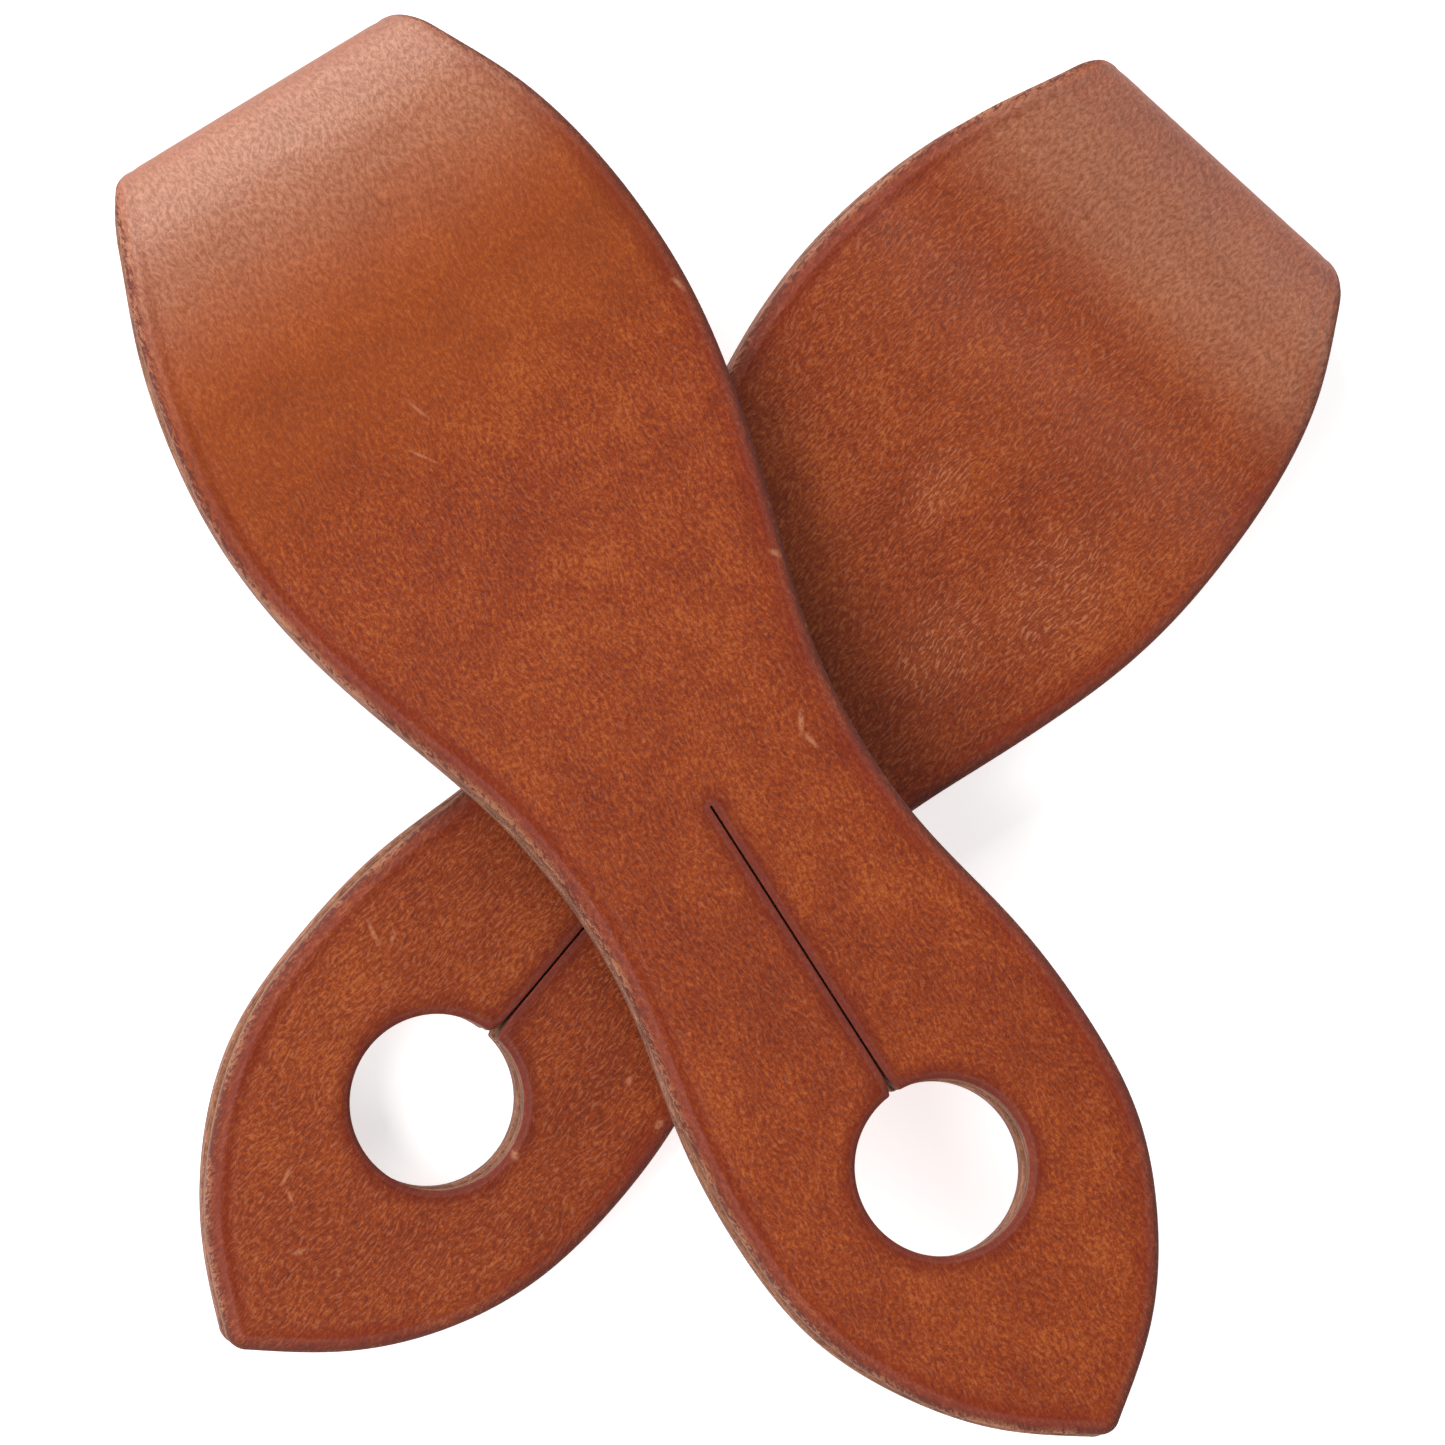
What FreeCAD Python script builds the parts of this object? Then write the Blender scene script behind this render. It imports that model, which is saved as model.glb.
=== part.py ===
import FreeCAD, Part
import math
import os

# A pair of slobber straps: the heavy leather tabs that join a rope rein to the ring of a bit.
# Each strap is one piece of leather, folded double. The fold makes an eye for the bit ring, and the
# two leaves below it lie face to face, with a round rein hole and a slit cut through both.
# The straps lie crossed: the lower one flat on the surface, the upper one across it.
#
# Every strap is modelled in its own frame, in millimetres, and then laid in place:
# u (X) runs from the fold towards the tip, v (Y) across the strap, w (Z) up from the underside.

Vector = FreeCAD.Vector

# Leather and fold
LEATHER = 4.2             # thickness of the leather
EYE_RADIUS = 3.0          # inside radius of the fold
LEAF_GAP = 0.3            # space between the two leaves where they lie together
CREST_SLOPE = 22.0        # slope of the front leaf where it leaves the fold, degrees
CREST_RADIUS = 38.0       # outside radius of the front leaf's hump over the eye
RAMP_END = 66.0           # u where the front leaf has come down onto the back leaf

# Outline, seen from above
STRAP_LENGTH = 228.6      # fold to tip, nine inches
FOLD_HALF_WIDTH = 23.6    # half the width along the fold line
FOLD_TAPER = 0.38         # growth of the half width per millimetre of leather beyond the fold line
BELLY = (52.0, 38.9)      # station and half width of the widest place
WAIST = (124.0, 24.0)     # station and half width of the narrowest place
LEAF = (177.0, 29.9)      # station and half width of the rounded end
TIP_RADIUS = 3.0
TIP_ANGLE = 47.0          # angle between the strap's axis and its edge at the tip, degrees

# Rein hole and slit
HOLE_STATION = 183.4
HOLE_RADIUS = 12.7        # one inch punch
SLIT_START = 122.0
SLIT_WIDTH = 0.6

# How the two straps lie
LOWER_CROSSING = 125.8    # station on the lower strap where the axes cross
UPPER_CROSSING = 119.7    # station on the upper strap where the axes cross
LOWER_HEADING = -90.0     # direction of the lower strap's axis, degrees from +X
UPPER_HEADING = -17.2
UPPER_TILT = 6.15         # slope of the upper strap, which rests on its fold and on the lower strap
TILT_AXIS_HEADING = 97.3  # direction of the level line that the upper strap is tilted about

# Derived sizes
FOLD_RADIUS = EYE_RADIUS + LEATHER
SLOPE = math.radians(CREST_SLOPE)
CREST_CENTRE = (
    FOLD_RADIUS + (CREST_RADIUS - FOLD_RADIUS) * math.sin(SLOPE),
    FOLD_RADIUS - (CREST_RADIUS - FOLD_RADIUS) * math.cos(SLOPE),
)
CREST_STATION = CREST_CENTRE[0]
CREST_TOP = CREST_CENTRE[1] + CREST_RADIUS
CREST_UNDERSIDE = CREST_TOP - LEATHER
FRONT_UNDERSIDE = LEATHER + LEAF_GAP
LEAVES_HEIGHT = FRONT_UNDERSIDE + LEATHER
NEUTRAL_RADIUS = EYE_RADIUS + 0.5 * LEATHER
APEX_STATION = FOLD_RADIUS - NEUTRAL_RADIUS
CUTTER_REACH = 60.0       # half width of the cutting blanks, wider than any strap
CUTTER_BELOW = -5.0
CUTTER_HEIGHT = CREST_TOP + 10.0
FOLD_STEPS = 5            # points that carry the outline round the fold


def fold_half_width(u):
    """Half width where the leather turns over the fold: it tapers along the leather, not along u."""
    along = FOLD_RADIUS * math.acos(1.0 - u / FOLD_RADIUS)
    return FOLD_HALF_WIDTH + FOLD_TAPER * along


def fold_points():
    """Edge points from the fold line to the end of the turn, closer together where the edge turns."""
    points = []
    for step in range(FOLD_STEPS + 1):
        u = FOLD_RADIUS * (step / FOLD_STEPS) ** 2
        points.append(Vector(u, fold_half_width(u), 0))
    return points


def tip_tangent_point():
    """Where the edge meets the small round of the tip."""
    angle = math.radians(TIP_ANGLE)
    u = STRAP_LENGTH - TIP_RADIUS + TIP_RADIUS * math.sin(angle)
    return Vector(u, TIP_RADIUS * math.cos(angle), 0)


def leaf_points():
    """Edge points of a leaf, from the end of the turn to the tip."""
    start = Vector(FOLD_RADIUS, fold_half_width(FOLD_RADIUS), 0)
    shoulder = [Vector(20.0, 33.0, 0), Vector(35.0, 37.1, 0)]
    belly = [Vector(*BELLY, 0), Vector(70.0, 37.0, 0), Vector(90.0, 31.5, 0), Vector(107.0, 26.2, 0)]
    waist = [Vector(*WAIST, 0), Vector(142.0, 25.2, 0), Vector(159.0, 28.5, 0)]
    leaf = [Vector(*LEAF, 0), Vector(193.0, 28.3, 0), Vector(207.0, 22.4, 0), Vector(219.0, 13.2, 0)]
    return [start] + shoulder + belly + waist + leaf + [tip_tangent_point()]


def mirrored(points):
    """The same points on the other edge."""
    return [Vector(p.x, -p.y, p.z) for p in points]


def spline_edge(points):
    """A smooth edge through the given points."""
    curve = Part.BSplineCurve()
    curve.interpolate(points)
    return curve.toShape()


def strap_blank():
    """The strap's outline seen from above, as a block taller than the folded strap."""
    fold_right = fold_points()
    leaf_right = leaf_points()
    fold_left = mirrored(fold_right)
    leaf_left = mirrored(leaf_right)
    fold_line = Part.LineSegment(fold_left[0], fold_right[0]).toShape()
    tip = Part.Arc(leaf_right[-1], Vector(STRAP_LENGTH, 0, 0), leaf_left[-1]).toShape()
    right = [spline_edge(fold_right), spline_edge(leaf_right)]
    left = [spline_edge(list(reversed(leaf_left))), spline_edge(list(reversed(fold_left)))]
    face = Part.Face(Part.Wire([fold_line] + right + [tip] + left))
    face.translate(Vector(0, 0, CUTTER_BELOW))
    return face.extrude(Vector(0, 0, CUTTER_HEIGHT - CUTTER_BELOW))


def across(edges):
    """A solid of constant section in the u-w plane, reaching past both edges of the strap."""
    face = Part.Face(Part.Wire(edges))
    face.translate(Vector(0, -CUTTER_REACH, 0))
    return face.extrude(Vector(0, 2.0 * CUTTER_REACH, 0))


def section_line(start, end):
    """A straight stretch of a section, from (u, w) to (u, w)."""
    return Part.LineSegment(Vector(start[0], 0, start[1]), Vector(end[0], 0, end[1])).toShape()


def section_arc(start, middle, end):
    """A round stretch of a section through three (u, w) points."""
    points = [Vector(u, 0, w) for u, w in (start, middle, end)]
    return Part.Arc(*points).toShape()


def polar(centre, radius, angle):
    """The (u, w) point at an angle from the +u direction, on a circle."""
    return (centre[0] + radius * math.cos(angle), centre[1] + radius * math.sin(angle))


def seam_point(radius):
    """Where the fold meets the front leaf, on the circle of the given radius."""
    return polar((FOLD_RADIUS, FOLD_RADIUS), radius, 0.5 * math.pi + SLOPE)


def hump_edge(radius):
    """The front leaf's rise from the fold to its highest place, as one arc."""
    start = polar(CREST_CENTRE, radius, 0.5 * math.pi + SLOPE)
    middle = polar(CREST_CENTRE, radius, 0.5 * (math.pi + SLOPE))
    return section_arc(start, middle, (CREST_STATION, CREST_CENTRE[1] + radius))


def ramp_edges(w_high, w_low):
    """The front leaf's descent as two equal arcs, tangent to each other and level at both ends."""
    half_run = 0.5 * (RAMP_END - CREST_STATION)
    half_drop = 0.5 * (w_high - w_low)
    radius = (half_run ** 2 + half_drop ** 2) / (2.0 * half_drop)
    half_angle = 0.5 * math.asin(half_run / radius)
    bow_u = radius * math.sin(half_angle)
    bow_w = radius * (1.0 - math.cos(half_angle))
    top = (CREST_STATION, w_high)
    turn = (CREST_STATION + half_run, w_high - half_drop)
    foot = (RAMP_END, w_low)
    upper = section_arc(top, (CREST_STATION + bow_u, w_high - bow_w), turn)
    lower = section_arc(turn, (RAMP_END - bow_u, w_low + bow_w), foot)
    return [upper, lower]


def crest_section():
    """Section of the front leaf's near stretch: over the eye, then down the ramp onto the back leaf."""
    top = [hump_edge(CREST_RADIUS)] + ramp_edges(CREST_TOP, LEAVES_HEIGHT)
    foot = [section_line((RAMP_END, LEAVES_HEIGHT), (RAMP_END, FRONT_UNDERSIDE))]
    bottom = list(reversed(ramp_edges(CREST_UNDERSIDE, FRONT_UNDERSIDE)))
    bottom.append(hump_edge(CREST_RADIUS - LEATHER))
    seam = [section_line(seam_point(EYE_RADIUS), seam_point(FOLD_RADIUS))]
    return top + foot + bottom + seam


def flat_section(start, underside):
    """Section of a stretch of leaf that lies flat, from the given station to past the tip."""
    end = STRAP_LENGTH + TIP_RADIUS
    top = underside + LEATHER
    corners = [(start, underside), (end, underside), (end, top), (start, top)]
    return [section_line(a, b) for a, b in zip(corners, corners[1:] + corners[:1])]


def fold_section():
    """Section of the fold: a bent strip that turns from the back leaf up to the front leaf."""
    outer_bottom = (FOLD_RADIUS, 0.0)
    inner_bottom = (FOLD_RADIUS, LEATHER)
    outer = section_arc(outer_bottom, (0.0, FOLD_RADIUS), seam_point(FOLD_RADIUS))
    inner = section_arc(seam_point(EYE_RADIUS), (LEATHER, FOLD_RADIUS), inner_bottom)
    upper_seam = section_line(seam_point(FOLD_RADIUS), seam_point(EYE_RADIUS))
    lower_seam = section_line(inner_bottom, outer_bottom)
    return [outer, upper_seam, inner, lower_seam]


def rein_opening():
    """The round hole and the slit that runs from it towards the waist."""
    height = CUTTER_HEIGHT - CUTTER_BELOW
    hole = Part.makeCylinder(HOLE_RADIUS, height, Vector(HOLE_STATION, 0, CUTTER_BELOW))
    slit_length = HOLE_STATION - SLIT_START
    corner = Vector(SLIT_START, -0.5 * SLIT_WIDTH, CUTTER_BELOW)
    slit = Part.makeBox(slit_length, SLIT_WIDTH, height, corner)
    return hole.fuse(slit)


def make_stretch(section):
    """One stretch of the strap: its section cut to the strap's outline."""
    return across(section).common(strap_blank())


def make_leaf(section):
    """A stretch that reaches the tip, with the rein hole and slit."""
    return make_stretch(section).cut(rein_opening())


def heading(degrees):
    """Level unit vector that points the given number of degrees from +X."""
    angle = math.radians(degrees)
    return Vector(math.cos(angle), math.sin(angle), 0)


def lower_placement():
    """The lower strap lies flat, with the crossing at the origin."""
    turn = FreeCAD.Rotation(Vector(0, 0, 1), LOWER_HEADING)
    return FreeCAD.Placement(turn.multVec(Vector(-LOWER_CROSSING, 0, 0)), turn)


def upper_placement(parts):
    """The upper strap slopes up from its fold, which touches the surface at its lowest place."""
    turn = FreeCAD.Rotation(Vector(0, 0, 1), UPPER_HEADING)
    tilt = FreeCAD.Rotation(heading(TILT_AXIS_HEADING), -UPPER_TILT)
    rotation = tilt.multiply(turn)
    level = rotation.multVec(Vector(-UPPER_CROSSING, 0, 0))
    base = Vector(level.x, level.y, 0)
    trial = placed(parts["fold"], FreeCAD.Placement(base, rotation))
    trial_back = placed(parts["back_leaf"], FreeCAD.Placement(base, rotation))
    lowest = min(box_of(trial).ZMin, box_of(trial_back).ZMin)
    return FreeCAD.Placement(Vector(base.x, base.y, -lowest), rotation)


def placed(shape, placement):
    """A copy of the shape, moved as the placement says."""
    moved = shape.copy()
    moved.Placement = placement
    return moved


def box_of(shape):
    """Tight bounding box."""
    return shape.optimalBoundingBox(False, False)


def make_strap():
    """The four stretches of one strap, in the strap's own frame."""
    return {
        "back_leaf": make_leaf(flat_section(FOLD_RADIUS, 0.0)),
        "fold": make_stretch(fold_section()),
        "crest": make_stretch(crest_section()),
        "front_leaf": make_leaf(flat_section(RAMP_END, FRONT_UNDERSIDE)),
    }


def centring_move(shapes):
    """The move that puts the origin under the middle of the whole pair."""
    boxes = [box_of(shape) for shape in shapes]
    x_middle = 0.5 * (min(b.XMin for b in boxes) + max(b.XMax for b in boxes))
    y_middle = 0.5 * (min(b.YMin for b in boxes) + max(b.YMax for b in boxes))
    return Vector(-x_middle, -y_middle, 0)


def main():
    """Model the pair, lay it out and write one file per stretch of leather."""
    strap = make_strap()
    placements = {"lower_strap": lower_placement(), "upper_strap": upper_placement(strap)}
    nodes = {}
    for name, placement in placements.items():
        for stretch, shape in strap.items():
            nodes[name + "_" + stretch] = placed(shape, placement)
    move = centring_move(nodes.values())
    os.makedirs("parts", exist_ok=True)
    for name, shape in nodes.items():
        shape.translate(move)
        shape.exportStep("parts/" + name + ".step")
        print(name, "volume", round(shape.Volume), "solids", len(shape.Solids))
    for name, placement in placements.items():
        hole = placement.multVec(Vector(HOLE_STATION, 0, 0.5 * LEAVES_HEIGHT)) + move
        apex = placement.multVec(Vector(APEX_STATION, 0, FOLD_RADIUS)) + move
        start = placement.multVec(Vector(0, 0, 0)) + move
        print(name, "hole", hole, "fold hinge", apex, "frame", start)
        for axis in (Vector(1, 0, 0), Vector(0, 1, 0), Vector(0, 0, 1)):
            print("  axis", placement.Rotation.multVec(axis))


main()
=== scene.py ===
import math

import bpy
import numpy as np
from mathutils import Matrix, Vector, geometry


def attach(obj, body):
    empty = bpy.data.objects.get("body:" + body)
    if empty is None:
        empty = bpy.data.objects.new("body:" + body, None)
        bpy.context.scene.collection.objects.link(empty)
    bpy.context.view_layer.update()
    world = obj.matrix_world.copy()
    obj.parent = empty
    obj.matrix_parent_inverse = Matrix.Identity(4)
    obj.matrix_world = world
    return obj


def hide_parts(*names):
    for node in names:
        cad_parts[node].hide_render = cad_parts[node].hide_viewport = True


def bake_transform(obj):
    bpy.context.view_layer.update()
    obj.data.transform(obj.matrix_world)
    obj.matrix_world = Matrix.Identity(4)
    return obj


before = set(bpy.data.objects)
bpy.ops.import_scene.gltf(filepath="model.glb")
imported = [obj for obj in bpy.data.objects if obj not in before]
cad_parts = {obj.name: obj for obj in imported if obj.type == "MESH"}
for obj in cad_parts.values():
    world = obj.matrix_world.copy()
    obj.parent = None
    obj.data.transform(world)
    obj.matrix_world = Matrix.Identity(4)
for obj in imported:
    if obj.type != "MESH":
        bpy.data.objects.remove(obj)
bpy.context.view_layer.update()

MM = 0.001

# The strap, in millimetres, as the CAD part has it
LEATHER = 4.2                         # thickness
FOLD_RADIUS = 7.2
LEAF_GAP = 0.3
SLOPE = math.radians(22.0)            # slope of the front leaf where it leaves the fold
CREST_RADIUS = 38.0                   # of the front leaf's hump over the eye
RAMP_END = 66.0                       # where the front leaf lies on the back leaf
LENGTH = 228.6
HOLE = 183.4                          # distance of the rein hole from the fold
HOLE_RADIUS = 12.7
SLIT_START = 122.0
SLIT_LIP, SLIT_FLARE, FLARE_LENGTH = 0.17, 0.65, 1.4      # half opening, how far it flares into the hole
TIP_RADIUS = 3.0
TIP_ANGLE = 47.0
EDGE = [(20.0, 33.0), (35.0, 37.1), (52.0, 38.9), (70.0, 37.0), (90.0, 31.5), (107.0, 26.2), (124.0, 24.0),
        (142.0, 25.2), (159.0, 28.5), (177.0, 29.9), (193.0, 28.3), (207.0, 22.4), (219.0, 13.2)]
FOLD_HALF = 23.6                      # half width along the fold line
FOLD_TAPER = 0.38                     # growth of the half width along the leather, beyond the fold line
FOLD_STATIONS = (0.0, 3.5, 7.5, 11.4)
CREST_U = FOLD_RADIUS + (CREST_RADIUS - FOLD_RADIUS) * math.sin(SLOPE)
CREST_W = FOLD_RADIUS - (CREST_RADIUS - FOLD_RADIUS) * math.cos(SLOPE)
TOP_SEAM = FOLD_RADIUS * (math.pi / 2 - SLOPE)      # along the grain face, from the fold's middle
CREST = TOP_SEAM + CREST_RADIUS * SLOPE
SKIP = CREST - CREST_U                              # along = u + SKIP on the leaves
LOW_SEAM = SKIP + FOLD_RADIUS

# Unwrapping: the flat strap's grain side and flesh side lie one above the other in the square
UV_SPAN = 520.0
UV_GRAIN, UV_FLESH = 0.25, 0.75
UV_SPLIT = 3.2                        # deeper points belong to the flesh side

# Half length and half width of the grid of points that fills the open faces
GRID_LENGTH, GRID_WIDTH = LENGTH + 8, 42

# Rounding of the edges: distance in from the edge, then depth below the grain face
BEVEL_WIDTH, BEVEL_DEPTH = 2.7, 1.6
RIM_WIDTH, RIM_DEPTH = 1.5, 0.95
ROUNDNESS = 2.1                       # exponent of the rounding's section, where 2 is an ellipse
EDGE_RINGS = [7.0, 5.9, 5.0, 4.4, 4.0, 3.7, 3.4, 3.15, 2.9, 2.65, 2.35, 2.0, 1.6, 1.2, 0.8, 0.5, 0.25, 0.1,
              0.02]
RIM_RINGS = [3.4, 2.6, 2.0, 1.6, 1.3, 1.0, 0.7, 0.45, 0.24, 0.1, 0.02]
SLIT_SHARE = 0.22                     # how much the slit's lips are rounded, beside 1 for the hole's rim
SLIT_REACH = 2.5                      # the rounding grows from one to the other over this length

# Cut walls and the flesh side's edge: distance in from the edge, and depth
EDGE_WALL = [(0.0, 2.1), (0.0, 2.6), (0.0, 3.1), (0.02, 3.6), (0.1, 3.9), (0.28, 4.1), (0.6, 4.2), (1.6, 4.2)]
RIM_WALL = [(0.0, 1.5), (0.0, 2.1), (0.0, 2.8), (0.0, 3.5), (0.03, 3.95), (0.2, 4.15), (0.5, 4.2), (1.3, 4.2)]
GROOVE_DEPTH, GROOVE_PLACE, GROOVE_WIDTH = 0.10, 3.3, 0.8     # the crease inside the edge
FAR = 99.0                            # stands for an edge or rim too far away to matter

# Liveliness of the hand-made shape, in millimetres
EDGE_WANDER, EDGE_WAVE = 0.16, 34.0
LEAF_LIFT, LEAF_WAVE = 0.10, 60.0
LEAF_SLIP = -0.55                     # the back leaf's tip lies this far to one side of the front leaf's

# How the straps lie: origin in millimetres, then heading and tilt in degrees
LOWER_ORIGIN, LOWER_HEADING = (8.996, 114.3, 0.0), -90.0
UPPER_ORIGIN, UPPER_HEADING = (-104.729, 23.976, 0.561), -17.2
UPPER_TILT, TILT_AXIS_HEADING = 6.15, 97.3


def spline(points, step):
    """A smooth line through the points, sampled about every step."""
    p = np.array(points, float)
    t = np.concatenate([[0.0], np.cumsum(np.hypot(*np.diff(p, axis=0).T))])
    n = len(t)
    h = np.diff(t)
    a = np.zeros((n, n))
    b = np.zeros((n, 2))
    a[0, 0] = a[-1, -1] = 1.0
    for i in range(1, n - 1):
        a[i, i - 1:i + 2] = h[i - 1], 2 * (h[i - 1] + h[i]), h[i]
        b[i] = 6 * ((p[i + 1] - p[i]) / h[i] - (p[i] - p[i - 1]) / h[i - 1])
    m = np.linalg.solve(a, b)
    s = np.linspace(0, t[-1], max(2, int(t[-1] / step)) + 1)
    k = np.clip(np.searchsorted(t, s, side="right") - 1, 0, n - 2)
    hk, x = h[k][:, None], (s - t[k])[:, None]
    y = hk - x
    return (m[k] * y ** 3 + m[k + 1] * x ** 3) / (6 * hk) + (p[k] / hk - m[k] * hk / 6) * y \
        + (p[k + 1] / hk - m[k + 1] * hk / 6) * x


def outline(step=0.85):
    """The whole strap laid flat: a closed loop of (along, across), with the fold at along = 0."""
    tip = math.radians(TIP_ANGLE)
    centre = LENGTH - TIP_RADIUS
    # the half width grows both ways from the fold, and the square root rounds the corner where they meet
    knots = [(s, FOLD_HALF + FOLD_TAPER * math.sqrt(s * s + 2.0) - 0.3) for s in FOLD_STATIONS]
    knots += [(u + SKIP, w) for u, w in EDGE]
    knots.append((centre + TIP_RADIUS * math.sin(tip) + SKIP, TIP_RADIUS * math.cos(tip)))
    side = spline(knots, step)
    turn = np.linspace(tip, math.pi / 2, 5)[1:]
    arc = np.stack([centre + SKIP + TIP_RADIUS * np.sin(turn), TIP_RADIUS * np.cos(turn)], axis=1)
    half = np.concatenate([side, arc])
    front = np.concatenate([half, (half * [1, -1])[-2:0:-1]])
    back = (half * [-1, -1])[:-1]
    back = np.concatenate([back, [[-half[-1, 0], 0.0]], (half * [-1, 1])[-2:0:-1]])
    return np.concatenate([front, back])[::-1]


def inward(loop, turns=1):
    """Unit normals of a closed loop, on its left side, where the leather is, smoothed."""
    t = np.roll(loop, -1, axis=0) - np.roll(loop, 1, axis=0)
    n = np.stack([-t[:, 1], t[:, 0]], axis=1)
    n /= np.linalg.norm(n, axis=1)[:, None]
    for _ in range(turns):
        n = n + 0.5 * (np.roll(n, 1, axis=0) + np.roll(n, -1, axis=0))
        n /= np.linalg.norm(n, axis=1)[:, None]
    return n


def rim(sign):
    """The rein hole and slit as a closed loop of (along, across), with each point's rounding and free space."""
    hole = HOLE + SKIP
    start = SLIT_START + SKIP
    edge = hole - HOLE_RADIUS
    reach = np.linspace(start, edge - 0.15, 52)
    lip = SLIT_LIP + SLIT_FLARE * np.exp(-(edge - reach) / FLARE_LENGTH)
    first = math.asin((lip[-1] + 0.25) / HOLE_RADIUS)
    turn = np.linspace(first, 2 * math.pi - first, 112)
    circle = np.stack([hole - HOLE_RADIUS * np.cos(turn), HOLE_RADIUS * np.sin(turn)], axis=1)
    upper = np.stack([reach, lip], axis=1)
    lower = np.stack([reach, -lip], axis=1)[::-1]
    end = np.array([[start - 0.22, -0.16], [start - 0.3, 0.0], [start - 0.22, 0.16]])
    loop = np.concatenate([upper, circle, lower, end])
    lips = np.clip(1 - (edge - reach) / SLIT_REACH, 0, 1)
    away = np.concatenate([lips, np.ones(len(circle)), lips[::-1], np.zeros(3)])
    if sign < 0:
        loop = (loop * [-1, 1])[::-1]
        away = away[::-1]
    x, y = loop.T
    if (x * np.roll(y, -1) - np.roll(x, -1) * y).sum() > 0:
        loop, away = loop[::-1], away[::-1]
    corner = np.abs(loop) - [hole - HOLE_RADIUS * math.cos(first), HOLE_RADIUS * math.sin(first)]
    return loop, SLIT_SHARE + (1 - SLIT_SHARE) * away, 0.1 + 0.8 * np.hypot(*corner.T)


def rounding(d, width, depth):
    """Depth of a rounded edge, a distance d in from it."""
    x = np.clip((width - d) / width, 0, 1)
    return depth * (1 - (1 - x ** ROUNDNESS) ** (1 / ROUNDNESS))


def distance(points, loop):
    """Shortest distance from each point to a closed loop."""
    best = np.full(len(points), 1e9)
    a, b = loop, np.roll(loop, -1, axis=0)
    d = b - a
    ll = np.maximum((d * d).sum(1), 1e-12)
    for k in range(0, len(points), 1000):
        p = points[k:k + 1000]
        t = np.clip(((p[:, None] - a) * d).sum(2) / ll, 0, 1)
        best[k:k + 1000] = np.sqrt(((p[:, None] - a - t[..., None] * d) ** 2).sum(2)).min(1)
    return best


def within(points, loop):
    """True for each point inside the closed loop."""
    odd = np.zeros(len(points), bool)
    a, b = loop, np.roll(loop, -1, axis=0)
    for (x0, y0), (x1, y1) in zip(a, b):
        if y0 == y1:
            continue
        cross = (y0 > points[:, 1]) != (y1 > points[:, 1])
        odd ^= cross & (points[:, 0] < (x1 - x0) * (points[:, 1] - y0) / (y1 - y0) + x0)
    return odd


def waves(x, y, seed, wavelength):
    """Smooth seeded unevenness between about -1 and 1."""
    r = np.random.default_rng(seed)
    total = np.zeros_like(x)
    for _ in range(7):
        k = 2 * math.pi / (wavelength * r.uniform(0.7, 1.8))
        turn, phase = r.uniform(0, 2 * math.pi, 2)
        total += np.sin(k * (x * math.cos(turn) + y * math.sin(turn)) + phase)
    return total / 3.2


def front_height(u):
    """Height of the front leaf's grain face, beyond the crest."""
    run = 0.5 * (RAMP_END - CREST_U)
    drop = 0.5 * (CREST_W + CREST_RADIUS - 2 * LEATHER - LEAF_GAP)
    r = (run ** 2 + drop ** 2) / (2 * drop)
    x = np.clip(u - CREST_U, 0, 2 * run)
    top = r - np.sqrt(r * r - np.minimum(x, run) ** 2)
    foot = r - np.sqrt(r * r - np.minimum(2 * run - x, run) ** 2)
    return CREST_W + CREST_RADIUS - np.where(x < run, top, 2 * drop - foot)


def folded(along, across, depth, seed):
    """Points of the folded strap in its own frame, from their place on the flat leather and their depth."""
    u = np.abs(along) - SKIP
    far = np.clip((u - 60) / 160, 0, 1)
    # the fold, then the back leaf, the hump and the front leaf in their places
    turn = np.where(along < 0, np.maximum(along, -LOW_SEAM) / LOW_SEAM * math.pi / 2, along / FOLD_RADIUS)
    r = FOLD_RADIUS - depth
    x, z = FOLD_RADIUS - r * np.cos(turn), FOLD_RADIUS + r * np.sin(turn)
    low = along < -LOW_SEAM
    x, z = np.where(low, u, x), np.where(low, depth, z)
    hump = along > TOP_SEAM
    lean = SLOPE - (along - TOP_SEAM) / CREST_RADIUS
    r = CREST_RADIUS - depth
    x, z = np.where(hump, CREST_U - r * np.sin(lean), x), np.where(hump, CREST_W + r * np.cos(lean), z)
    front = along > CREST
    lift = LEAF_LIFT * (1 + waves(along, across, seed, LEAF_WAVE)) * far
    x, z = np.where(front, u, x), np.where(front, front_height(u) - depth + lift, z)
    y = across + np.where(along > 0, 0.0, LEAF_SLIP) * far
    return np.stack([x, y, z], axis=1)


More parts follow.
